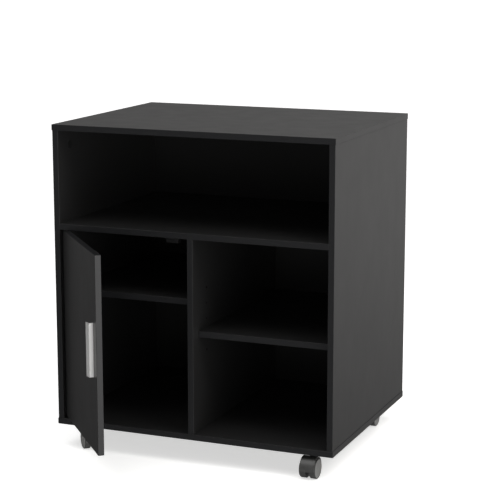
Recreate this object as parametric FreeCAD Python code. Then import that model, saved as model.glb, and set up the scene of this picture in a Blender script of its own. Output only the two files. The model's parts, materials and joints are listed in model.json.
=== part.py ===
import FreeCAD, Part
import os

# Mobile printer stand: a flat-pack cabinet on four swivel casters, with a wide
# upper bay, a right-hand bay and a left-hand bay behind a hinged door.
# Millimetres. The origin is on the floor, below the middle of the cabinet.
# +X is to the right of somebody who faces the door, +Y is towards the back.

# --- Driving dimensions: cabinet -------------------------------------------------
cabinet_width = 600.0
cabinet_depth = 460.0
cabinet_height = 620.0
board = 12.0
panel_overhang = 1.0
middle_shelf_rise = 407.5

# Back panel, held in grooves and screwed to the shelf and divider
back_thickness = 3.0
groove_depth = 5.0
groove_end_gap = 0.5
back_inset = 8.0
back_screw_inset = 30.0
back_screw_length = 15.0
shelf_screw_shares = (-1.0, -0.4, 0.4, 1.0)
divider_screw_shares = (0.2, 0.5, 0.8)

# Adjustable shelves and their pins; holes are counted upwards from 1
shelf_setback = 28.0
shelf_side_gap = 1.0
shelf_back_gap = 2.0
shelf_pin_radius = 2.5
shelf_pin_floor = 1.0
shelf_pin_reach = 7.0
pin_pitch = 32.0
pin_hole_count = 5
first_pin_rise = 174.0
cabinet_shelf_hole = 4
open_shelf_hole = 2
pin_row_inset = 40.0

# Knock-down fasteners
bolt_setback = 50.0
bolt_thread_radius = 2.5
bolt_thread_depth = 9.0
bolt_shank_radius = 3.0
bolt_bore_clearance = 0.5
bolt_neck_radius = 1.5
bolt_neck_length = 10.0
bolt_head_length = 3.0
nut_distance = 34.0
nut_radius = 7.5
nut_floor = 0.5
nut_slot_clearance = 0.3
nut_slot_end_gap = 1.65
nut_cross_length = 8.0
nut_cross_width = 1.6
nut_cross_depth = 1.6
cap_margin = 1.0
cap_thickness = 0.8
cap_fillet = 0.3
dowel_radius = 3.0
dowel_in_face = 8.0
dowel_in_edge = 17.0
dowel_setback = 85.0

# Flat-head screws
screw_radius = 1.5
screw_head_radius = 3.0
screw_head_height = 1.4
screw_head_taper = 0.8

# Door and its pivots
door_angle = 49.0
door_swing_gap = 0.84
door_latch_gap = 2.0
hinge_play = 0.3
door_edge_fillet = 0.6
pivot_inset = 10.0
pivot_radius = 2.5
pivot_clearance = 0.05
pivot_in_door = 9.0
pivot_in_bush = 6.5
collar_radius = 5.0
collar_height = 1.0
bush_radius = 4.0
bush_depth = 8.0
flange_radius = 5.8
flange_height = 1.2

# Pull on the door: an extruded profile with two screw bosses
pull_length = 106.0
pull_rise = 217.5
pull_edge_inset = 22.0
pull_wall = 3.0
pull_wall_height = 8.5
pull_lip_reach = 13.0
pull_lip_height = 11.8
pull_lip_thickness = 2.2
pull_fillet = 0.5
pull_boss_size = 8.0
pull_screw_inset = 9.0
pull_screw_radius = 1.8
pull_screw_bite = 5.0

# Magnetic catch under the middle shelf, and its strike plate on the door
catch_from_divider = 38.0
catch_width = 44.0
catch_depth = 14.0
catch_ear_width = 9.0
catch_ear_thickness = 3.0
catch_screw_length = 11.0
magnet_side_wall = 2.0
magnet_depth = 9.0
magnet_height = 5.0
magnet_proud = 0.6
magnet_floor = 1.2
strike_width = 30.0
strike_height = 10.0
strike_drop = 0.8
strike_thickness = 1.0
strike_air_gap = 0.4
strike_screw_length = 8.0

# Casters; each swivel angle is how far its wheels stand turned from straight ahead
caster_side_inset = 51.0
caster_front_inset = 34.0
caster_back_inset = 54.0
caster_trail = 20.0
caster_headroom = 10.0
caster_swivels = {"front_left": 42.0, "front_right": 0.0, "back_left": 0.0, "back_right": 0.0}
plate_size = 38.0
plate_thickness = 2.0
plate_corner = 4.0
plate_hole_inset = 5.5
plate_screw_length = 11.0
kingpin_radius = 3.5
kingpin_clearance = 0.05
kingpin_reach = 14.0
kingpin_end_gap = 0.6
boss_radius = 8.0
boss_height = 19.0
boss_gap = 0.6
wheel_radius = 20.0
wheel_width = 13.0
wheel_fillet = 1.6
wheel_side_gap = 0.6
wheel_bore_floor = 4.0
wheel_cap_margin = 1.2
wheel_cap_thickness = 1.4
wheel_cap_proud = 0.4
wheel_cap_fillet = 0.3
axle_radius = 3.0
axle_clearance = 0.05
axle_end_gap = 0.6
axle_hub_radius = 6.5
web_thickness = 6.0
hood_gap = 1.3
hood_wall = 2.2
hood_skirt = 2.0
hood_setback = 1.5

# Lengths and places closer than this count as the same when edges are picked
tolerance = 0.1

X = FreeCAD.Vector(1, 0, 0)
Y = FreeCAD.Vector(0, 1, 0)
Z = FreeCAD.Vector(0, 0, 1)

# --- Planes worked out from the driving dimensions ----------------------------------
base = 2 * wheel_radius + caster_headroom
bay_floor = base + board
top_under = base + cabinet_height - board
shelf_under = base + middle_shelf_rise
shelf_top = shelf_under + board
shelf_middle = shelf_under + board / 2
front = -cabinet_depth / 2
back = cabinet_depth / 2
half_width = cabinet_width / 2
side_front = front + panel_overhang
side_outer = half_width - panel_overhang
side_inner = side_outer - board
side_middle = side_outer - board / 2
back_front = back - back_inset - back_thickness
back_face = back - back_inset
adjustable_front = front + shelf_setback
adjustable_back = back_front - shelf_back_gap

shelf_pin_depth = board / 2 - shelf_pin_floor
bolt_bore_radius = bolt_shank_radius + bolt_bore_clearance
nut_slot_radius = bolt_shank_radius + nut_slot_clearance
nut_depth = board / 2 + bolt_shank_radius + nut_floor
cap_radius = nut_radius + cap_margin

# The door's corner behind the pivot turns clear of the side panel
door_corner_reach = (pivot_inset**2 + (board / 2) ** 2) ** 0.5
door_hinge_gap = door_corner_reach - pivot_inset + door_swing_gap
door_end_gap = collar_height + flange_height + hinge_play
door_inner = side_front + board
door_bottom = bay_floor + door_end_gap
door_top = shelf_under - door_end_gap
door_left = -side_inner + door_hinge_gap
door_right = -board / 2 - door_latch_gap
pivot_x = door_left + pivot_inset
pivot_y = side_front + board / 2

magnet_width = catch_width - 2 * (catch_ear_width + magnet_side_wall)
pull_screw_spacing = pull_length - 2 * pull_screw_inset
plate_hole_spacing = plate_size - 2 * plate_hole_inset
wheel_bore_depth = wheel_width - wheel_bore_floor
wheel_cap_radius = wheel_radius - wheel_cap_margin

boards = {}
drillings = {}
pieces = {}


# --- Helpers ----------------------------------------------------------------------
def at(x, y, z):
    return FreeCAD.Vector(x, y, z)


def box(first, second):
    """A block between any two opposite corners."""
    low = at(min(first.x, second.x), min(first.y, second.y), min(first.z, second.z))
    size = at(abs(first.x - second.x), abs(first.y - second.y), abs(first.z - second.z))
    return Part.makeBox(size.x, size.y, size.z, low)


def rod(start, direction, radius, length):
    return Part.makeCylinder(radius, length, start, direction)


def join(solids):
    """Touching or overlapping solids as one solid."""
    return solids[0].multiFuse(solids[1:]).removeSplitter()


def round_edges(solid, radius, wanted):
    """Round the edges of a solid that the function wanted picks."""
    return solid.makeFillet(radius, [edge for edge in solid.Edges if wanted(edge)])


def add(node, *solids):
    pieces.setdefault(node, []).extend(solids)


def add_board(node, first, second):
    boards[node] = box(first, second)
    drillings[node] = []


def export_all():
    os.makedirs("parts", exist_ok=True)
    for node, blank in boards.items():
        cutters = drillings[node]
        pieces[node] = [blank.cut(cutters) if cutters else blank]
    for node, solids in pieces.items():
        shapes = [each for solid in solids for each in solid.Solids]
        shape = shapes[0] if len(shapes) == 1 else Part.makeCompound(shapes)
        shape.exportStep("parts/" + node + ".step")


# --- Cabinet boards ----------------------------------------------------------------
def make_top_and_bottom():
    for node, low in (("top_panel", top_under), ("bottom_panel", base)):
        add_board(node, at(-half_width, front, low), at(half_width, back, low + board))


def make_sides():
    for node, sign in (("left_side_panel", -1), ("right_side_panel", 1)):
        outer_front_foot = at(sign * side_outer, side_front, bay_floor)
        inner_back_head = at(sign * side_inner, back, top_under)
        add_board(node, outer_front_foot, inner_back_head)


def make_inner_boards():
    add_board(
        "middle_shelf",
        at(-side_inner, side_front, shelf_under),
        at(side_inner, back_front, shelf_top),
    )
    add_board(
        "divider_panel",
        at(-board / 2, side_front, bay_floor),
        at(board / 2, back_front, shelf_under),
    )


def back_sheet(grip):
    """The back panel's block, reaching the given distance into the grooves."""
    reach = side_inner + grip
    return (
        at(-reach, back_front, bay_floor - grip),
        at(reach, back_face, top_under + grip),
    )


def make_back_panel():
    """The back panel, and the groove for it in the sides, top and bottom."""
    add_board("back_panel", *back_sheet(groove_depth - groove_end_gap))
    for node in ("top_panel", "bottom_panel", "left_side_panel", "right_side_panel"):
        drillings[node].append(box(*back_sheet(groove_depth)))


# --- Knock-down fasteners ------------------------------------------------------------
def cam_bolt(origin, along):
    """A bolt screwed into one board's face, whose head reaches into a cam nut."""
    neck_start = nut_distance - bolt_neck_length
    head_end = nut_distance + bolt_head_length
    return join(
        [
            rod(origin - along * bolt_thread_depth, along, bolt_thread_radius, bolt_thread_depth),
            rod(origin, along, bolt_shank_radius, neck_start),
            rod(origin, along, bolt_neck_radius, head_end),
            rod(origin + along * nut_distance, along, bolt_shank_radius, bolt_head_length),
        ]
    )


def cam_nut(centre, outward, along):
    """A nut let into a board's face, slotted for the bolt, with a cross for the driver."""
    nut = rod(centre - outward * nut_depth, outward, nut_radius, nut_depth)
    slot_start = centre - outward * (board / 2) - along * nut_radius
    slot_length = nut_radius + bolt_head_length + nut_slot_end_gap
    cutters = [rod(slot_start, along, nut_slot_radius, slot_length)]
    across = along.cross(outward)
    for arm, side in ((along, across), (across, along)):
        half_arm = arm * (nut_cross_length / 2) + side * (nut_cross_width / 2)
        cutters.append(box(centre - half_arm, centre + half_arm - outward * nut_cross_depth))
    return nut.cut(cutters)


def cover_cap(centre, outward):
    disc = rod(centre, outward, cap_radius, cap_thickness)
    far = centre + outward * cap_thickness
    return round_edges(
        disc, cap_fillet, lambda edge: edge.Closed and (edge.CenterOfMass - far).Length < tolerance
    )


def fasten(face_board, edge_board, origin, along, outward):
    """A cam bolt from face_board's face into edge_board, whose nut faces outward."""
    centre = origin + along * nut_distance + outward * (board / 2)
    add("cam_bolts", cam_bolt(origin, along))
    add("cam_nuts", cam_nut(centre, outward, along))
    add("cam_cover_caps", cover_cap(centre, outward))
    thread_end = origin - along * bolt_thread_depth
    drillings[face_board].append(rod(thread_end, along, bolt_thread_radius, bolt_thread_depth))
    drillings[edge_board].append(rod(origin, along, bolt_bore_radius, nut_distance))
    nut_bottom = centre - outward * nut_depth
    drillings[edge_board].append(rod(nut_bottom, outward, nut_radius, nut_depth))


def add_dowel(face_board, edge_board, origin, along):
    start = origin - along * dowel_in_face
    peg = rod(start, along, dowel_radius, dowel_in_face + dowel_in_edge)
    add("wood_dowels", peg)
    drillings[face_board].append(peg)
    drillings[edge_board].append(peg)


def fasten_joint(face_board, edge_board, line_point, along, outward):
    """Two cams and two dowels on one joint, set in from its front and back ends."""
    for end, inward in ((side_front, 1), (back_front, -1)):
        cam_place = at(line_point.x, end + inward * bolt_setback, line_point.z)
        dowel_place = at(line_point.x, end + inward * dowel_setback, line_point.z)
        fasten(face_board, edge_board, cam_place, along, outward)
        add_dowel(face_board, edge_board, dowel_place, along)


def make_joints():
    for side, sign in (("left_side_panel", -1), ("right_side_panel", 1)):
        inward = X * -sign
        fasten_joint("bottom_panel", side, at(sign * side_middle, 0, bay_floor), Z, inward)
        fasten_joint("top_panel", side, at(sign * side_middle, 0, top_under), -Z, inward)
        fasten_joint(side, "middle_shelf", at(sign * side_inner, 0, shelf_middle), inward, -Z)
    fasten_joint("bottom_panel", "divider_panel", at(0, 0, bay_floor), Z, -X)
    fasten_joint("middle_shelf", "divider_panel", at(0, 0, shelf_under), -Z, -X)


# --- Flat-head screws ------------------------------------------------------------------
def flat_screw(surface_point, into, length):
    """A screw driven in from a surface, with its low head standing on that surface."""
    head_top = surface_point - into * screw_head_height
    narrow = screw_head_radius * screw_head_taper
    head = Part.makeCone(narrow, screw_head_radius, screw_head_height, head_top, into)
    return join([head, rod(surface_point, into, screw_radius, length)])


def screw_hole(surface_point, into, length):
    return rod(surface_point, into, screw_radius, length)


def screw_boards(node, held, surface_point, into, length):
    """Add a screw and drill its hole through each board it holds."""
    add(node, flat_screw(surface_point, into, length))
    for board_name in held:
        drillings[board_name].append(screw_hole(surface_point, into, length))


def make_back_screws():
    reach = side_inner - back_screw_inset
    rise = shelf_under - bay_floor
    for share in shelf_screw_shares:
        place = at(share * reach, back_face, shelf_middle)
        screw_boards(
            "back_panel_screws", ("back_panel", "middle_shelf"), place, -Y, back_screw_length
        )
    for share in divider_screw_shares:
        place = at(0, back_face, bay_floor + share * rise)
        screw_boards(
            "back_panel_screws", ("back_panel", "divider_panel"), place, -Y, back_screw_length
        )


# --- Adjustable shelves ------------------------------------------------------------------
def pin_height(hole):
    return base + first_pin_rise + (hole - 1) * pin_pitch - shelf_pin_radius


def make_shelf(node, left, left_board, right, right_board, hole):
    """A shelf on four pins, with a column of pin holes beside each of its corners."""
    under = pin_height(hole) + shelf_pin_radius
    add_board(
        node,
        at(left + shelf_side_gap, adjustable_front, under),
        at(right - shelf_side_gap, adjustable_back, under + board),
    )
    for row in (adjustable_front + pin_row_inset, adjustable_back - pin_row_inset):
        for wall, wall_board, into in ((left, left_board, -X), (right, right_board, X)):
            for number in range(1, pin_hole_count + 1):
                mouth = at(wall, row, pin_height(number))
                drillings[wall_board].append(rod(mouth, into, shelf_pin_radius, shelf_pin_depth))
            mouth = at(wall, row, pin_height(hole))
            start = mouth + into * shelf_pin_depth
            length = shelf_pin_depth + shelf_pin_reach
            add(node + "_pins", rod(start, -into, shelf_pin_radius, length))


def make_shelves():
    make_shelf(
        "cabinet_shelf",
        -side_inner,
        "left_side_panel",
        -board / 2,
        "divider_panel",
        cabinet_shelf_hole,
    )
    make_shelf(
        "open_shelf",
        board / 2,
        "divider_panel",
        side_inner,
        "right_side_panel",
        open_shelf_hole,
    )


# --- Door: made closed, then turned open about its pivots -----------------------------------
def opened(solid):
    turned = solid.copy()
    turned.rotate(at(pivot_x, pivot_y, 0), Z, -door_angle)
    return turned


def hinge_bush(mouth, into):
    """A flanged bush let into a board, with a blind hole for the pivot pin."""
    flange_face = mouth - into * flange_height
    bush = join(
        [
            rod(mouth, into, bush_radius, bush_depth),
            rod(flange_face, into, flange_radius, flange_height),
        ]
    )
    hole_depth = flange_height + pivot_in_bush + pivot_clearance
    return bush.cut(rod(flange_face, into, pivot_radius + pivot_clearance, hole_depth))


def pivot_pin(door_edge, outward):
    """A collared pin pressed into the top or bottom edge of the door."""
    length = pivot_in_door + door_end_gap + pivot_in_bush
    start = door_edge - outward * pivot_in_door
    return join(
        [
            rod(start, outward, pivot_radius, length - pivot_clearance),
            rod(door_edge, outward, collar_radius, collar_height),
        ]
    )


def make_hinges():
    for name, held, face, edge, outward in (
        ("lower", "bottom_panel", bay_floor, door_bottom, -Z),
        ("upper", "middle_shelf", shelf_under, door_top, Z),
    ):
        mouth = at(pivot_x, pivot_y, face)
        add(name + "_hinge_bush", hinge_bush(mouth, outward))
        drillings[held].append(rod(mouth, outward, bush_radius, bush_depth))
        add(name + "_hinge_pin", opened(pivot_pin(at(pivot_x, pivot_y, edge), outward)))


def pull_section(wall_x, height):
    """The pull's section: a wall on the door and a sloping lip over the fingers."""
    face = side_front
    tip_x = wall_x - pull_lip_reach
    corners = [
        at(wall_x, face, height),
        at(wall_x, face - pull_wall_height, height),
        at(tip_x, face - pull_lip_height, height),
        at(tip_x, face - pull_lip_height + pull_lip_thickness, height),
        at(wall_x - pull_wall, face - pull_wall_height + pull_lip_thickness, height),
        at(wall_x - pull_wall, face, height),
    ]
    return Part.Face(Part.makePolygon(corners + corners[:1]))


def pull_screw(place):
    """A screw from inside the door into the pull."""
    head_top = place + Y * screw_head_height
    return join(
        [
            rod(head_top, -Y, screw_head_radius, screw_head_height),
            rod(place, -Y, pull_screw_radius, board + pull_screw_bite),
        ]
    )


def make_pull():
    """The pull and the two screws that hold it, with the door closed."""
    middle = base + pull_rise
    wall_x = door_right - pull_edge_inset
    section = pull_section(wall_x, middle - pull_length / 2)
    bar = section.extrude(Z * pull_length)
    bar = round_edges(bar, pull_fillet, lambda edge: edge.Length > pull_length - tolerance)
    boss_right = wall_x - pull_wall / 2
    boss_left = wall_x - pull_wall - pull_boss_size
    boss_front = side_front - pull_wall_height + pull_lip_thickness / 2
    solids = [bar]
    screws = []
    for sign in (-1, 1):
        height = middle + sign * pull_screw_spacing / 2
        half_boss = pull_boss_size / 2
        solids.append(
            box(
                at(boss_left, boss_front, height - half_boss),
                at(boss_right, side_front, height + half_boss),
            )
        )
        screws.append(pull_screw(at(boss_left + half_boss, door_inner, height)))
    return join(solids).cut(screws), screws


def make_strike():
    """The steel strike plate inside the door, and its screw."""
    middle_x = -board / 2 - catch_from_divider
    top = door_top - strike_drop
    outer = door_inner + strike_thickness
    plate = box(
        at(middle_x - strike_width / 2, door_inner, top - strike_height),
        at(middle_x + strike_width / 2, outer, top),
    )
    place = at(middle_x, outer, top - strike_height / 2)
    sink = Part.makeCone(
        screw_head_radius * screw_head_taper,
        screw_radius,
        strike_thickness,
        place,
        -Y,
    )
    shank = rod(place, -Y, screw_radius, strike_screw_length)
    screw = join([sink, shank])
    return plate.cut(screw), screw


def make_door():
    panel = box(at(door_left, side_front, door_bottom), at(door_right, door_inner, door_top))
    panel = panel.makeFillet(door_edge_fillet, panel.Edges)
    pull, pull_screws = make_pull()
    strike, strike_screw = make_strike()
    cutters = pull_screws + [strike_screw]
    for edge, inward in ((door_bottom, Z), (door_top, -Z)):
        cutters.append(rod(at(pivot_x, pivot_y, edge), inward, pivot_radius, pivot_in_door))
    add("door_panel", opened(panel.cut(cutters)))
    add("door_handle", opened(pull))
    add("door_handle_screws", *[opened(screw) for screw in pull_screws])
    add("catch_strike_plate", opened(strike))
    add("strike_plate_screw", opened(strike_screw))


# --- Magnetic catch ------------------------------------------------------------------------
def make_catch():
    """A housing with two screw ears under the middle shelf, and its magnet."""
    middle_x = -board / 2 - catch_from_divider
    magnet_front = door_inner + strike_thickness + strike_air_gap
    housing_front = magnet_front + magnet_proud
    housing_back = housing_front + catch_depth
    half = catch_width / 2
    core = half - catch_ear_width
    magnet_middle = door_top - strike_drop - strike_height / 2
    housing_under = magnet_middle - magnet_height / 2 - magnet_floor
    ears = box(
        at(middle_x - half, housing_front, shelf_under - catch_ear_thickness),
        at(middle_x + half, housing_back, shelf_under),
    )
    core_block = box(
        at(middle_x - core, housing_front, housing_under),
        at(middle_x + core, housing_back, shelf_under),
    )
    magnet = box(
        at(middle_x - magnet_width / 2, magnet_front, magnet_middle - magnet_height / 2),
        at(
            middle_x + magnet_width / 2,
            magnet_front + magnet_depth,
            magnet_middle + magnet_height / 2,
        ),
    )
    housing = join([ears, core_block]).cut(magnet)
    ear_under = shelf_under - catch_ear_thickness
    for sign in (-1, 1):
        place = at(
            middle_x + sign * (half - catch_ear_width / 2),
            housing_front + catch_depth / 2,
            ear_under,
        )
        housing = housing.cut(screw_hole(place, Z, catch_ear_thickness))
        screw_boards("catch_screws", ("middle_shelf",), place, Z, catch_screw_length)
    add("catch_housing", housing)
    add("catch_magnet", magnet)


# --- Casters -------------------------------------------------------------------------------
def make_plate(name, pivot):
    """The caster's plate under the bottom panel, with its kingpin and four screws."""
    half = plate_size / 2
    plate = box(
        at(pivot.x - half, pivot.y - half, base - plate_thickness),
        at(pivot.x + half, pivot.y + half, base),
    )
    plate = round_edges(
        plate, plate_corner, lambda edge: abs(edge.Length - plate_thickness) < tolerance
    )
    under = base - plate_thickness
    kingpin = rod(
        at(pivot.x, pivot.y, base), -Z, kingpin_radius, plate_thickness + kingpin_reach
    )
    plate = plate.cut(kingpin)
    for across in (-1, 1):
        for deep in (-1, 1):
            place = at(
                pivot.x + across * plate_hole_spacing / 2,
                pivot.y + deep * plate_hole_spacing / 2,
                under,
            )
            plate = plate.cut(screw_hole(place, Z, plate_thickness))
            screw_boards(
                "caster_plate_screws", ("bottom_panel",), place, Z, plate_screw_length
            )
    add(name + "_plate", plate)
    add("caster_kingpins", kingpin)


def make_hood(pivot, hub):
    """The hood over both wheels, with the web between them and the kingpin's boss."""
    inner_radius = wheel_radius + hood_gap
    outer_radius = inner_radius + hood_wall
    half_span = web_thickness / 2 + wheel_side_gap + wheel_width - hood_setback
    left = at(hub.x - half_span, hub.y, hub.z)
    shell = rod(left, X, outer_radius, 2 * half_span)
    skirt = hub.z - hood_skirt
    reach = 2 * outer_radius
    below = box(
        at(hub.x - reach, hub.y - reach, hub.z - reach), at(hub.x + reach, hub.y + reach, skirt)
    )
    shell = shell.cut(below)
    boss_top = base - plate_thickness - boss_gap
    boss = rod(at(pivot.x, pivot.y, boss_top), -Z, boss_radius, boss_height)
    web_left = at(hub.x - web_thickness / 2, hub.y, hub.z)
    wheel_rooms = [
        rod(at(hub.x + web_thickness / 2, hub.y, hub.z), X, inner_radius, reach),
        rod(web_left, -X, inner_radius, reach),
    ]
    axle_hub = rod(web_left, X, axle_hub_radius, web_thickness)
    hood = join([shell, boss]).cut(wheel_rooms)
    hood = join([hood, axle_hub])
    bore_depth = kingpin_reach - boss_gap + kingpin_end_gap
    kingpin_bore = rod(
        at(pivot.x, pivot.y, boss_top), -Z, kingpin_radius + kingpin_clearance, bore_depth
    )
    return hood.cut([kingpin_bore, rod(web_left, X, axle_radius, web_thickness)])


def make_axle(hub):
    reach = web_thickness / 2 + wheel_side_gap + wheel_bore_depth - axle_end_gap
    return rod(hub - X * reach, X, axle_radius, 2 * reach)


def make_wheel(hub, outward):
    """One wheel and the disc pressed into its outer face."""
    inner_face = hub + outward * (web_thickness / 2 + wheel_side_gap)
    outer_face = inner_face + outward * wheel_width
    wheel = rod(inner_face, outward, wheel_radius, wheel_width)
    wheel = round_edges(wheel, wheel_fillet, lambda edge: edge.Closed)
    cap = rod(
        outer_face - outward * wheel_cap_thickness,
        outward,
        wheel_cap_radius,
        wheel_cap_thickness + wheel_cap_proud,
    )
    bore = rod(inner_face, outward, axle_radius + axle_clearance, wheel_bore_depth)
    wheel = wheel.cut([cap, bore])
    proud_face = outer_face + outward * wheel_cap_proud
    cap = round_edges(
        cap,
        wheel_cap_fillet,
        lambda edge: edge.Closed and (edge.CenterOfMass - proud_face).Length < tolerance,
    )
    return wheel, cap


def make_swivel_parts(pivot):
    """What turns about a caster's kingpin, with its wheels trailing towards the front."""
    hub = at(pivot.x, pivot.y - caster_trail, wheel_radius)
    parts = {"_hood": make_hood(pivot, hub), "_axle": make_axle(hub)}
    for side, outward in (("_left_wheel", -X), ("_right_wheel", X)):
        parts[side], parts[side + "_cap"] = make_wheel(hub, outward)
    return parts


def make_casters():
    caster_x = half_width - caster_side_inset
    for side, x in (("left", -caster_x), ("right", caster_x)):
        for end, y in (
            ("front", front + caster_front_inset),
            ("back", back - caster_back_inset),
        ):
            name = end + "_" + side
            pivot = at(x, y, 0)
            make_plate(name + "_caster", pivot)
            for ending, solid in make_swivel_parts(pivot).items():
                solid.rotate(pivot, Z, caster_swivels[name])
                add(name + "_caster" + ending, solid)


# --- Whole stand ------------------------------------------------------------------------------
make_top_and_bottom()
make_sides()
make_inner_boards()
make_back_panel()
make_shelves()
make_joints()
make_back_screws()
make_hinges()
make_door()
make_catch()
make_casters()
export_all()
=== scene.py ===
import json
import math

import bpy
from mathutils import Matrix, Vector


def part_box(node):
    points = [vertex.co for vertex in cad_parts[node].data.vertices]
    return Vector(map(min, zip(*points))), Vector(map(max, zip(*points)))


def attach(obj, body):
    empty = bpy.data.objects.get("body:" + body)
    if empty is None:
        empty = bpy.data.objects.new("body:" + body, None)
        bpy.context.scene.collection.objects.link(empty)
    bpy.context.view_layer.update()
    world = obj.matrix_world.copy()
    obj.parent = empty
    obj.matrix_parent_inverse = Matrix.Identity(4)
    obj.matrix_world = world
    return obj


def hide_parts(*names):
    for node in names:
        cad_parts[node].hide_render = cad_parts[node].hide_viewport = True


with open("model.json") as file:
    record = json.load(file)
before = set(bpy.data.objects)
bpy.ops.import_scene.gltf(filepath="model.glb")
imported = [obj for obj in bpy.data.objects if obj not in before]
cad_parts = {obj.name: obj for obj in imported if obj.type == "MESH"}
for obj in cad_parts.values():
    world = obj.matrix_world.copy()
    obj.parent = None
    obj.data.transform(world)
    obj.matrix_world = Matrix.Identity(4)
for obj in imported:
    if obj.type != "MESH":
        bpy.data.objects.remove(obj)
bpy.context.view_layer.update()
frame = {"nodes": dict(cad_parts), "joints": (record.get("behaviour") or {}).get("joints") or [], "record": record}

# Looks of a mobile printer stand. Metres and Z up, in the frame of the CAD model.
MM = 0.001

# --- Camera, floor and light: main settings ----------------------------------------
CAMERA_LENS = 117.2
CAMERA_DISTANCE = 3.27
CAMERA_AZIMUTH = math.radians(22.26)
CAMERA_PITCH = math.radians(11.14)
CAMERA_TARGET = Vector((0.0745, -0.1, 0.419))

FLOOR_REACH = 45.0
FLOOR_COLOUR = (0.9, 0.9, 0.895, 1.0)
FLOOR_GLOW = 0.66

SUN_STRENGTH = 1.4
SUN_SPREAD = math.radians(56)
SUN_ELEVATION = math.radians(70)
SUN_AZIMUTH = math.radians(-45)

SOFTBOX_PLACE = Vector((1.5, -0.2, 1.8))
SOFTBOX_TARGET = Vector((0.3, 0.0, 0.42))
SOFTBOX_SIZE = (1.7, 1.3)
SOFTBOX_POWER = 26.0
SOFTBOX_COLOUR = (1.0, 0.985, 0.965)

WINDOW_PEAK = 3.9
WINDOW_AZIMUTH = math.radians(-32)
WINDOW_POWER = 8.0
SIDE_PEAK = 0.38
SIDE_AZIMUTH = math.radians(55)
SIDE_POWER = 6.0
REAR_PEAK = 0.22
REAR_AZIMUTH = math.radians(85)
REAR_POWER = 3.0
WINDOW_COLOUR = (1.0, 0.99, 0.975, 1.0)
# The lights' belt, as the height of a direction of length 1, and their shares beyond it
BELT_TOP = 0.04
BELT_HEIGHT = -0.14
DEEP_HEIGHT = -0.34
ABOVE_SHARE = 0.3
DEEP_SHARE = 0.15
ROOM_LIGHT = 0.036
ROOM_COLOUR = (1.0, 0.97, 0.99, 1.0)
BACKGROUND_COLOUR = (1.0, 1.0, 1.0, 1.0)

# --- Facts read from the frame -----------------------------------------------------
hinge = next(joint for joint in frame["joints"] if joint["name"] == "door_hinge")
DOOR_ANGLE = -math.radians(hinge["range_deg"][0])
DOOR_NORMAL = Vector((math.sin(DOOR_ANGLE), math.cos(DOOR_ANGLE), 0.0))
SHEET_NORMAL = Vector((0.0, 1.0, 0.0))
DOWN = Vector((0.0, 0.0, -1.0))
BACK_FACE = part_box("back_panel")[1].y


# --- Shader helpers ----------------------------------------------------------------
def new_material(name):
    """A new material, with its node tree and its main shader."""
    material = bpy.data.materials.new(name)
    material.use_nodes = True
    return material, material.node_tree, material.node_tree.nodes["Principled BSDF"]


def fill_sockets(tree, node, inputs):
    """Link a socket into each named input, or set it to a constant value."""
    for name, value in inputs.items():
        if isinstance(value, bpy.types.NodeSocket):
            tree.links.new(value, node.inputs[name])
        else:
            node.inputs[name].default_value = value


def add_node(tree, kind, inputs=None, **settings):
    node = tree.nodes.new("ShaderNode" + kind)
    for name, value in settings.items():
        setattr(node, name, value)
    fill_sockets(tree, node, inputs or {})
    return node


def object_point(tree, stretch=(1.0, 1.0, 1.0)):
    """Position on the object in metres, scaled along each axis."""
    point = add_node(tree, "TexCoord").outputs["Object"]
    mapping = add_node(tree, "Mapping", {"Vector": point, "Scale": stretch})
    return mapping.outputs["Vector"]


def noise(tree, point, size, detail=2.0):
    """Noise from 0 to 1 whose blobs are about the given size, in metres."""
    inputs = {"Vector": point, "Scale": 1.0 / size, "Detail": detail}
    return add_node(tree, "TexNoise", inputs).outputs["Fac"]


def spread(tree, value, low, high, start=0.3, end=0.7):
    """A value that runs from low to high while the given one goes from start to end.

    Noise stays mostly between the start and end that are given here as defaults.
    """
    inputs = {
        "Value": value,
        "From Min": start,
        "From Max": end,
        "To Min": low,
        "To Max": high,
    }
    return add_node(tree, "MapRange", inputs).outputs["Result"]


def math_node(tree, operation, first, second):
    return add_node(tree, "Math", {0: first, 1: second}, operation=operation).outputs["Value"]


def mixed(tree, share, first, second):
    """A colour that goes from first to second as share goes from 0 to 1."""
    node = add_node(tree, "Mix", data_type="RGBA")
    for index, value in ((0, share), (6, first), (7, second)):
        fill_sockets(tree, node, {index: value})
    return node.outputs[2]


def relief(tree, height, depth, normal=None):
    """A bump normal for a height from 0 to 1 that stands for a real depth."""
    inputs = {"Height": height, "Distance": depth, "Strength": 1.0}
    if normal is not None:
        inputs["Normal"] = normal
    return add_node(tree, "Bump", inputs).outputs["Normal"]


def sharp_edges(tree, radius):
    """A mask that is 1 on sharp edges, and the normal that rounds those edges."""
    rounded = add_node(tree, "Bevel", {"Radius": radius}, samples=6).outputs["Normal"]
    flat = add_node(tree, "NewGeometry").outputs["Normal"]
    likeness = add_node(
        tree, "VectorMath", {0: rounded, 1: flat}, operation="DOT_PRODUCT"
    ).outputs["Value"]
    return spread(tree, likeness, 1.0, 0.0, 0.78, 0.97), rounded


def facing(tree, axis):
    """How squarely a face looks along an axis of the object, from 0 to 1."""
    normal = add_node(tree, "TexCoord").outputs["Normal"]
    likeness = add_node(
        tree, "VectorMath", {0: normal, 1: tuple(axis)}, operation="DOT_PRODUCT"
    ).outputs["Value"]
    return add_node(tree, "Math", {0: likeness}, operation="ABSOLUTE").outputs["Value"]


# --- Materials: sizes of their details ---------------------------------------------------
LAMINATE_PEARL = 0.9 * MM
LAMINATE_CLOUD = 180 * MM
LAMINATE_HANDLING = 45 * MM
LAMINATE_SCUFF = 30 * MM
LAMINATE_EDGE = 0.9 * MM
LAMINATE_RELIEF = 0.012 * MM
SQUARE_ON = 0.7

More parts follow.
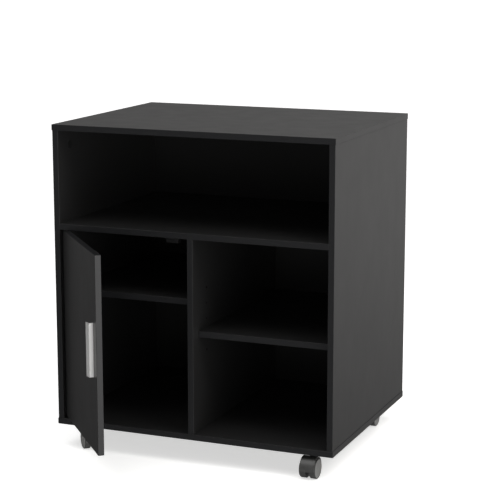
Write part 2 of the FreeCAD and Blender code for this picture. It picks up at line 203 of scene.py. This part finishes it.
FIBRE_SIZE = 2.5 * MM
BLOTCH_SIZE = 90 * MM
WEAVE_PITCH = 1.6 * MM
WEAVE_RELIEF = 0.12 * MM
WAVES_PER_UNIT_SCALE = 10 / math.pi
BACK_SKIN = 0.5 * MM

WOOD_FIBRE = 0.8 * MM
WOOD_RING = 4 * MM
WOOD_RELIEF = 0.05 * MM

METAL_PIT = 0.25 * MM
METAL_EDGE = 0.25 * MM

BRUSH_LINE = 0.35 * MM
BRUSH_STRETCH = 0.02
BRUSH_RELIEF = 0.006 * MM
PULL_PATCH = 25 * MM
PULL_EDGE = 0.3 * MM
ANODISED_METAL_SHARE = 0.74

PLASTIC_FLOW = 14 * MM
PLASTIC_RUB = 3 * MM
PLASTIC_EDGE = 0.6 * MM


# --- Materials -----------------------------------------------------------------------
def black_laminate(name, band_axis, band_is_square):
    """Satin black melamine on chipboard, with a smoother plastic band on the edges.

    The band covers the faces that look along band_axis, or all the others.
    """
    material, tree, shader = new_material(name)
    point = object_point(tree)
    pearl = noise(tree, point, LAMINATE_PEARL, detail=3.0)
    clouds = noise(tree, point, LAMINATE_CLOUD)
    handling = noise(tree, object_point(tree, (1.0, 1.0, 0.6)), LAMINATE_HANDLING, detail=4.0)
    scuffs = noise(tree, object_point(tree, (9.0, 9.0, 1.0)), LAMINATE_SCUFF, detail=5.0)
    edges, rounded = sharp_edges(tree, LAMINATE_EDGE)
    square = facing(tree, band_axis)
    compare = "GREATER_THAN" if band_is_square else "LESS_THAN"
    band = math_node(tree, compare, square, SQUARE_ON)

    dark, pale = (0.0185, 0.0185, 0.0187, 1), (0.0205, 0.0204, 0.0206, 1)
    sheet = mixed(tree, spread(tree, clouds, 0.0, 1.0), dark, pale)
    speckled = mixed(tree, spread(tree, pearl, 0.0, 0.5), sheet, (0.025, 0.0248, 0.0247, 1))
    banded = mixed(tree, band, speckled, (0.0135, 0.0138, 0.0148, 1))
    rubbed = math_node(tree, "MULTIPLY", edges, spread(tree, scuffs, 0.05, 0.6, 0.45, 0.75))
    colour = mixed(tree, rubbed, banded, (0.05, 0.0494, 0.0487, 1))

    satin = spread(tree, handling, 0.30, 0.335)
    dull = math_node(tree, "ADD", satin, spread(tree, scuffs, 0.0, 0.05, 0.55, 0.8))
    texture = relief(tree, pearl, LAMINATE_RELIEF, rounded)
    fill_sockets(
        tree, shader, {"Base Color": colour, "Roughness": dull, "Normal": texture, "IOR": 1.5}
    )
    return material


def painted_hardboard():
    """Thin black hardboard: a smooth foil in front, a painted screen imprint behind."""
    material, tree, shader = new_material("back_hardboard")
    point = object_point(tree)
    fibre = noise(tree, point, FIBRE_SIZE, detail=4.0)
    blotches = noise(tree, point, BLOTCH_SIZE, detail=3.0)
    ridges = []
    for direction in ("X", "Z"):
        wave = add_node(
            tree,
            "TexWave",
            {
                "Vector": point,
                "Scale": 1 / (WAVES_PER_UNIT_SCALE * WEAVE_PITCH),
                "Distortion": 0.4,
            },
            bands_direction=direction,
        )
        ridges.append(wave.outputs["Fac"])
    screen = math_node(tree, "MULTIPLY", ridges[0], ridges[1])
    depth = add_node(tree, "SeparateXYZ", {"Vector": point}).outputs["Y"]
    behind = math_node(tree, "GREATER_THAN", depth, BACK_FACE - BACK_SKIN)
    imprint = math_node(tree, "MULTIPLY", behind, screen)
    foil = ((0.005, 0.005, 0.0051, 1), (0.0068, 0.0067, 0.0067, 1))
    front = mixed(tree, spread(tree, blotches, 0, 1), *foil)
    brown_black = ((0.019, 0.0186, 0.018, 1), (0.032, 0.0305, 0.029, 1))
    paint = mixed(tree, spread(tree, fibre, 0, 1), *brown_black)
    shade = mixed(tree, behind, front, paint)
    colour = mixed(tree, spread(tree, imprint, 0, 0.35, 0, 1), shade, (0.05, 0.048, 0.045, 1))
    dull = spread(tree, behind, 0.42, 0.68, 0, 1)
    grain = math_node(tree, "ADD", imprint, spread(tree, fibre, 0, 0.3))
    fill_sockets(
        tree,
        shader,
        {"Base Color": colour, "Roughness": dull, "Normal": relief(tree, grain, WEAVE_RELIEF)},
    )
    return material


def dowel_wood():
    """Pale beech with its grain along the dowel."""
    material, tree, shader = new_material("dowel_wood")
    fibres = noise(tree, object_point(tree, (1.0, 1.0, 0.12)), WOOD_FIBRE, detail=4.0)
    rings = noise(tree, object_point(tree, (1.0, 1.0, 0.2)), WOOD_RING)
    tone = mixed(tree, spread(tree, rings, 0, 1), (0.56, 0.39, 0.23, 1), (0.68, 0.51, 0.33, 1))
    colour = mixed(tree, spread(tree, fibres, 0.0, 0.45), tone, (0.36, 0.23, 0.12, 1))
    fill_sockets(
        tree,
        shader,
        {"Base Color": colour, "Roughness": 0.62, "Normal": relief(tree, fibres, WOOD_RELIEF)},
    )
    return material


def metal(name, light, dark, low_gloss, high_gloss, blob, depth):
    """Bare or plated metal with fine pits, dulled in patches and bright on its edges."""
    material, tree, shader = new_material(name)
    point = object_point(tree)
    patches = noise(tree, point, blob, detail=4.0)
    pits = noise(tree, point, METAL_PIT, detail=2.0)
    edges, rounded = sharp_edges(tree, METAL_EDGE)
    body = mixed(tree, spread(tree, patches, 0, 1), light, dark)
    colour = mixed(tree, math_node(tree, "MULTIPLY", edges, 0.5), body, (0.86, 0.86, 0.86, 1))
    fill_sockets(
        tree,
        shader,
        {
            "Base Color": colour,
            "Metallic": 1.0,
            "Roughness": spread(tree, patches, low_gloss, high_gloss),
            "Normal": relief(tree, pits, depth, rounded),
        },
    )
    return material


def satin_aluminium():
    """Anodised aluminium, brushed along the pull, with a painted highlight on its sharp edges."""
    material, tree, shader = new_material("satin_aluminium")
    brushed = noise(
        tree, object_point(tree, (1.0, 1.0, BRUSH_STRETCH)), BRUSH_LINE, detail=3.0
    )
    patches = noise(tree, object_point(tree), PULL_PATCH)
    edges, rounded = sharp_edges(tree, PULL_EDGE)
    silver = ((0.87, 0.867, 0.86, 1), (0.93, 0.927, 0.92, 1))
    body = mixed(tree, spread(tree, brushed, 0, 1), *silver)
    # Painted highlight: sharp edges mixed towards near-white silver stand in for light caught on the pull's ridge.
    colour = mixed(tree, math_node(tree, "MULTIPLY", edges, 0.6), body, (0.98, 0.98, 0.975, 1))
    streaks = spread(tree, brushed, -0.05, 0.05)
    dull = math_node(tree, "ADD", spread(tree, patches, 0.44, 0.52), streaks)
    fill_sockets(
        tree,
        shader,
        {
            "Base Color": colour,
            "Metallic": ANODISED_METAL_SHARE,
            "Roughness": dull,
            "Anisotropic": 0.35,
            "Normal": relief(tree, brushed, BRUSH_RELIEF, rounded),
        },
    )
    return material


def moulded_plastic(name, low, high, pale_wear_and_edge_highlight, gloss, pore, depth):
    """Moulded plastic with a fine eroded texture and paler edges: rubbed wear, and on the wheel cap also a painted
    rim highlight.
    """
    material, tree, shader = new_material(name)
    point = object_point(tree)
    pores = noise(tree, point, pore, detail=3.0)
    flow = noise(tree, point, PLASTIC_FLOW, detail=3.0)
    rubs = noise(tree, point, PLASTIC_RUB, detail=5.0)
    edges, rounded = sharp_edges(tree, PLASTIC_EDGE)
    body = mixed(tree, spread(tree, flow, 0, 1), low, high)
    speckled = mixed(tree, spread(tree, pores, 0, 0.25), body, pale_wear_and_edge_highlight)
    rubbed = math_node(tree, "MULTIPLY", edges, spread(tree, rubs, 0.2, 0.9, 0.4, 0.7))
    # Paler edges: rubbed wear; with the wheel cap's bright pale colour this is also a painted rim highlight.
    colour = mixed(tree, rubbed, speckled, pale_wear_and_edge_highlight)
    scuffed = spread(tree, rubs, -0.05, 0.07)
    dull = math_node(tree, "ADD", scuffed, spread(tree, flow, gloss, gloss + 0.06))
    fill_sockets(
        tree,
        shader,
        {
            "Base Color": colour,
            "Roughness": dull,
            "Normal": relief(tree, pores, depth, rounded),
        },
    )
    return material


def make_materials():
    """One material for each slot, and one for the door, whose band lies on its own edges."""
    zinc = ((0.60, 0.60, 0.61, 1), (0.44, 0.45, 0.47, 1))
    steel = ((0.52, 0.52, 0.53, 1), (0.38, 0.38, 0.39, 1))
    nickel = ((0.66, 0.65, 0.62, 1), (0.54, 0.53, 0.50, 1))
    ferrite = ((0.09, 0.09, 0.092, 1), (0.055, 0.055, 0.058, 1))
    black_oxide = ((0.05, 0.05, 0.052, 1), (0.03, 0.03, 0.032, 1))
    return {
        "black_laminate": black_laminate("black_laminate", SHEET_NORMAL, True),
        "door_laminate": black_laminate("door_laminate", DOOR_NORMAL, False),
        "back_hardboard": painted_hardboard(),
        "dowel_wood": dowel_wood(),
        "zinc_fitting": metal("zinc_fitting", *zinc, 0.38, 0.55, 6 * MM, 0.02 * MM),
        "screw_steel": metal("screw_steel", *steel, 0.28, 0.42, 4 * MM, 0.01 * MM),
        "pin_steel": metal("pin_steel", *nickel, 0.2, 0.32, 5 * MM, 0.006 * MM),
        "black_steel": metal("black_steel", *black_oxide, 0.35, 0.5, 4 * MM, 0.01 * MM),
        "plated_steel": metal("plated_steel", *zinc, 0.26, 0.42, 9 * MM, 0.01 * MM),
        "magnet_ferrite": metal("magnet_ferrite", *ferrite, 0.5, 0.65, 3 * MM, 0.02 * MM),
        "satin_aluminium": satin_aluminium(),
        "black_plastic": moulded_plastic(
            "black_plastic",
            (0.0065, 0.0065, 0.0067, 1),
            (0.009, 0.009, 0.0092, 1),
            (0.03, 0.03, 0.03, 1),
            0.34,
            0.5 * MM,
            0.02 * MM,
        ),
        "caster_hood_plastic": moulded_plastic(
            "caster_hood_plastic",
            (0.037, 0.0368, 0.036, 1),
            (0.052, 0.0517, 0.0505, 1),
            (0.11, 0.11, 0.108, 1),
            0.34,
            0.6 * MM,
            0.03 * MM,
        ),
        "wheel_plastic": moulded_plastic(
            "wheel_plastic",
            (0.03, 0.03, 0.03, 1),
            (0.045, 0.045, 0.044, 1),
            (0.11, 0.11, 0.108, 1),
            0.4,
            0.4 * MM,
            0.02 * MM,
        ),
        # Its pale third colour speckles the cap and paints a rim highlight on its edges.
        "wheel_cap_plastic": moulded_plastic(
            "wheel_cap_plastic",
            (0.145, 0.144, 0.14, 1),
            (0.172, 0.171, 0.167, 1),
            (0.42, 0.42, 0.415, 1),
            0.32,
            0.5 * MM,
            0.02 * MM,
        ),
    }


def dress_nodes(materials):
    """Give each CAD node the material of its slot."""
    slots = {part["node"]: part["material_slot"] for part in frame["record"]["subparts"]}
    slots["door_panel"] = "door_laminate"
    slots["upper_hinge_pin"] = slots["lower_hinge_pin"] = "black_steel"
    for name, thing in frame["nodes"].items():
        thing.data.materials.clear()
        thing.data.materials.append(materials[slots[name]])


# --- Screws with a cross recess ----------------------------------------------------
SCREW_HEAD_RADIUS = 3.0 * MM
SCREW_HEAD_HEIGHT = 1.4 * MM
SCREW_SHANK_RADIUS = 1.5 * MM
SCREW_SPIN = 1.1
HEAD_RINGS = 20
HEAD_SEGMENTS = 48
HEAD_RIM_SHARE = 0.45
RECESS_DEPTH_SHARE = 0.75
RECESS_TAPER = 0.4
CROSS_REACH = 0.66
CROSS_HALF_WIDTH = 0.15
CROSS_SOFTNESS = 0.06
THREAD_TURN = 0.8 * MM
THREAD_DEPTH = 0.22
SHANK_STEPS_PER_TURN = 6
SHANK_SEGMENTS = 12
TIP_SHARE = 0.3
TIP_RADIUS_SHARE = 0.05


def screw_places(node, axis, reach):
    """For each screw in a CAD node: its axis point, and how far along it tip and head lie."""
    clusters = []
    for vertex in frame["nodes"][node].data.vertices:
        along = vertex.co.dot(axis)
        across = vertex.co - along * axis
        near = [found for found in clusters if (found[0][0] - across).length < reach]
        if near:
            near[0].append((across, along))
        else:
            clusters.append([(across, along)])
    places = []
    for members in clusters:
        low = Vector(min(place[i] for place, _ in members) for i in range(3))
        high = Vector(max(place[i] for place, _ in members) for i in range(3))
        heights = [along for _, along in members]
        places.append(((low + high) / 2, min(heights), max(heights)))
    return places


def soft_step(value, edge, softness):
    """1 well below the edge and 0 well above it."""
    share = min(1.0, max(0.0, (edge + softness - value) / (2 * softness)))
    return share * share * (3 - 2 * share)


def cross_mask(x, y):
    """How far a point of a unit head is inside its cross recess, from 0 to 1."""
    arms = []
    for along, across in ((x, y), (y, x)):
        in_reach = soft_step(abs(along), CROSS_REACH, CROSS_SOFTNESS)
        in_width = soft_step(abs(across), CROSS_HALF_WIDTH, CROSS_SOFTNESS)
        arms.append(in_reach * in_width)
    return max(arms)


def head_height(x, y):
    """Height of a unit screw head's surface: a low dome with a recess that tapers inwards."""
    distance = min(1.0, math.hypot(x, y))
    dome = HEAD_RIM_SHARE + (1 - HEAD_RIM_SHARE) * math.sqrt(1 - distance**2)
    taper = 1.0 - distance / CROSS_REACH * RECESS_TAPER
    return dome - RECESS_DEPTH_SHARE * taper * cross_mask(x, y)


def rings_to_faces(ring_count, segments):
    faces = []
    for ring in range(ring_count - 1):
        for step in range(segments):
            first = ring * segments + step
            second = ring * segments + (step + 1) % segments
            faces.append((first, second, second + segments, first + segments))
    return faces


def screw_shape(length):
    """Vertices and faces of one screw along +Z, with its head's underside at 0."""
    radius, height = SCREW_HEAD_RADIUS, SCREW_HEAD_HEIGHT
    points = []
    for ring in range(HEAD_RINGS + 1):
        reach = ring / HEAD_RINGS
        for step in range(HEAD_SEGMENTS):
            turn = math.tau * step / HEAD_SEGMENTS
            x, y = reach * math.cos(turn), reach * math.sin(turn)
            points.append((x * radius, y * radius, head_height(x, y) * height))
    for step in range(HEAD_SEGMENTS):
        x, y, _ = points[HEAD_RINGS * HEAD_SEGMENTS + step]
        points.append((x, y, 0.0))
    faces = rings_to_faces(HEAD_RINGS + 2, HEAD_SEGMENTS)
    start = len(points)
    rings = max(2, round(length / THREAD_TURN * SHANK_STEPS_PER_TURN))
    for ring in range(rings + 1):
        depth = length * ring / rings
        taper = min(1.0, (length - depth) / (TIP_SHARE * length) + TIP_RADIUS_SHARE)
        for step in range(SHANK_SEGMENTS):
            share = step / SHANK_SEGMENTS
            phase = (depth / THREAD_TURN + share) % 1.0
            thread = 1.0 - THREAD_DEPTH * abs(2 * phase - 1)
            reach = SCREW_SHANK_RADIUS * taper * thread
            turn = math.tau * share
            points.append((reach * math.cos(turn), reach * math.sin(turn), -depth))
    faces += [
        tuple(start + corner for corner in reversed(face))
        for face in rings_to_faces(rings + 1, SHANK_SEGMENTS)
    ]
    return points, faces


def make_screws(node, body, axis, materials):
    """Screws with a cross recess in the places of a CAD node's plain ones."""
    slot = "screw_steel"
    points, faces = [], []
    turn = axis.to_track_quat("Z", "Y").to_matrix()
    places = screw_places(node, axis, 2 * SCREW_HEAD_RADIUS)
    for number, (middle, tip, top) in enumerate(places):
        seat_along = top - SCREW_HEAD_HEIGHT
        shape, shape_faces = screw_shape(seat_along - tip)
        spin = Matrix.Rotation(number * SCREW_SPIN, 3, "Z")
        start = len(points)
        seat = middle + axis * seat_along
        points += [seat + turn @ (spin @ Vector(point)) for point in shape]
        faces += [tuple(start + corner for corner in face) for face in shape_faces]
    mesh = bpy.data.meshes.new("cross_" + node)
    mesh.from_pydata(points, [], faces)
    mesh.polygons.foreach_set("use_smooth", [True] * len(mesh.polygons))
    mesh.materials.append(materials[slot])
    piece = bpy.data.objects.new("cross_" + node, mesh)
    bpy.context.scene.collection.objects.link(piece)
    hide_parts(node)
    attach(piece, body)


def make_all_screws(materials):
    for node, body, axis in (
        ("back_panel_screws", "cabinet", SHEET_NORMAL),
        ("caster_plate_screws", "cabinet", DOWN),
        ("catch_screws", "cabinet", DOWN),
        ("door_handle_screws", "door", DOOR_NORMAL),
    ):
        make_screws(node, body, axis, materials)


# --- Floor, camera and light ---------------------------------------------------------
def make_floor():
    """A plain pale floor that reaches past the horizon of the camera's view."""
    signs = ((-1, -1), (1, -1), (1, 1), (-1, 1))
    corners = [(x * FLOOR_REACH, y * FLOOR_REACH, 0.0) for x, y in signs]
    mesh = bpy.data.meshes.new("studio_floor")
    mesh.from_pydata(corners, [], [(0, 1, 2, 3)])
    floor = bpy.data.objects.new("studio_floor", mesh)
    bpy.context.scene.collection.objects.link(floor)
    material, tree, shader = new_material("studio_floor")
    fill_sockets(
        tree,
        shader,
        {
            "Base Color": FLOOR_COLOUR,
            "Roughness": 0.9,
            "Specular IOR Level": 0.0,
            "Emission Color": FLOOR_COLOUR,
            "Emission Strength": FLOOR_GLOW,
        },
    )
    mesh.materials.append(material)
    floor.visible_glossy = False


def make_camera():
    data = bpy.data.cameras.new("camera")
    data.lens = CAMERA_LENS
    camera = bpy.data.objects.new("camera", data)
    backwards = Vector(
        (
            math.sin(CAMERA_AZIMUTH) * math.cos(CAMERA_PITCH),
            -math.cos(CAMERA_AZIMUTH) * math.cos(CAMERA_PITCH),
            math.sin(CAMERA_PITCH),
        )
    )
    camera.location = CAMERA_TARGET + CAMERA_DISTANCE * backwards
    camera.rotation_euler = (math.pi / 2 - CAMERA_PITCH, 0.0, CAMERA_AZIMUTH)
    bpy.context.scene.collection.objects.link(camera)
    bpy.context.scene.camera = camera


def make_sun():
    """Broad overhead light, which whitens the floor and casts the soft shadow."""
    data = bpy.data.lights.new("overhead", "SUN")
    data.energy = SUN_STRENGTH
    data.angle = SUN_SPREAD
    sun = bpy.data.objects.new("overhead", data)
    towards = Vector(
        (
            math.sin(SUN_AZIMUTH) * math.cos(SUN_ELEVATION),
            -math.cos(SUN_AZIMUTH) * math.cos(SUN_ELEVATION),
            math.sin(SUN_ELEVATION),
        )
    )
    sun.rotation_euler = towards.to_track_quat("Z", "Y").to_euler()
    bpy.context.scene.collection.objects.link(sun)


def make_softbox():
    """A large soft light on the right, a little above the top of the stand."""
    data = bpy.data.lights.new("softbox", "AREA")
    data.shape = "RECTANGLE"
    data.size, data.size_y = SOFTBOX_SIZE
    data.energy = SOFTBOX_POWER
    data.color = SOFTBOX_COLOUR
    softbox = bpy.data.objects.new("softbox", data)
    softbox.location = SOFTBOX_PLACE
    softbox.rotation_euler = (SOFTBOX_PLACE - SOFTBOX_TARGET).to_track_quat("Z", "Y").to_euler()
    softbox.visible_camera = False
    bpy.context.scene.collection.objects.link(softbox)


def soft_light(tree, direction, azimuth, power, peak):
    """A wide light on the horizon, brightest towards the given azimuth."""
    middle = (math.cos(azimuth), math.sin(azimuth), 0.0)
    lean = add_node(
        tree, "VectorMath", {0: direction, 1: middle}, operation="DOT_PRODUCT"
    ).outputs["Value"]
    lobe = math_node(tree, "POWER", spread(tree, lean, 0.0, 1.0, -1.0, 1.0), power)
    return math_node(tree, "MULTIPLY", lobe, peak)


def make_surround():
    """A dim room, seen directly as plain white, with light on the right and behind.

    The light below the horizon is what a glossy panel mirrors of the bright floor.
    """
    world = bpy.data.worlds.new("studio")
    bpy.context.scene.world = world
    world.use_nodes = True
    tree = world.node_tree
    direction = add_node(tree, "TexCoord").outputs["Generated"]
    window = soft_light(tree, direction, WINDOW_AZIMUTH, WINDOW_POWER, WINDOW_PEAK)
    side = soft_light(tree, direction, SIDE_AZIMUTH, SIDE_POWER, SIDE_PEAK)
    rear = soft_light(tree, direction, REAR_AZIMUTH, REAR_POWER, REAR_PEAK)
    height = add_node(tree, "SeparateXYZ", {"Vector": direction}).outputs["Z"]
    sheen = math_node(tree, "ADD", window, side)
    under_horizon = spread(tree, height, 1.0, ABOVE_SHARE, BELT_HEIGHT, BELT_TOP)
    near_horizon = spread(tree, height, DEEP_SHARE, 1.0, DEEP_HEIGHT, BELT_HEIGHT)
    belt = math_node(tree, "MULTIPLY", under_horizon, near_horizon)
    low = math_node(tree, "MULTIPLY", sheen, belt)
    high = math_node(tree, "MULTIPLY", rear, spread(tree, height, DEEP_SHARE, 1.0, DEEP_HEIGHT, 0.0))
    soft = math_node(tree, "ADD", low, high)
    lit = add_node(tree, "Background", {"Color": WINDOW_COLOUR, "Strength": soft})
    room = add_node(tree, "Background", {"Color": ROOM_COLOUR, "Strength": ROOM_LIGHT})
    both = add_node(tree, "AddShader", {0: lit.outputs[0], 1: room.outputs[0]})
    backdrop = add_node(tree, "Background", {"Color": BACKGROUND_COLOUR, "Strength": 1.0})
    seen = add_node(tree, "LightPath").outputs["Is Camera Ray"]
    shown = add_node(
        tree, "MixShader", {0: seen, 1: both.outputs[0], 2: backdrop.outputs[0]}
    )
    tree.links.new(shown.outputs[0], tree.nodes["World Output"].inputs["Surface"])


# --- Whole scene -----------------------------------------------------------------------
materials = make_materials()
dress_nodes(materials)
make_all_screws(materials)
make_floor()
make_camera()
make_sun()
make_softbox()
make_surround()
bpy.context.scene.view_settings.view_transform = "Standard"
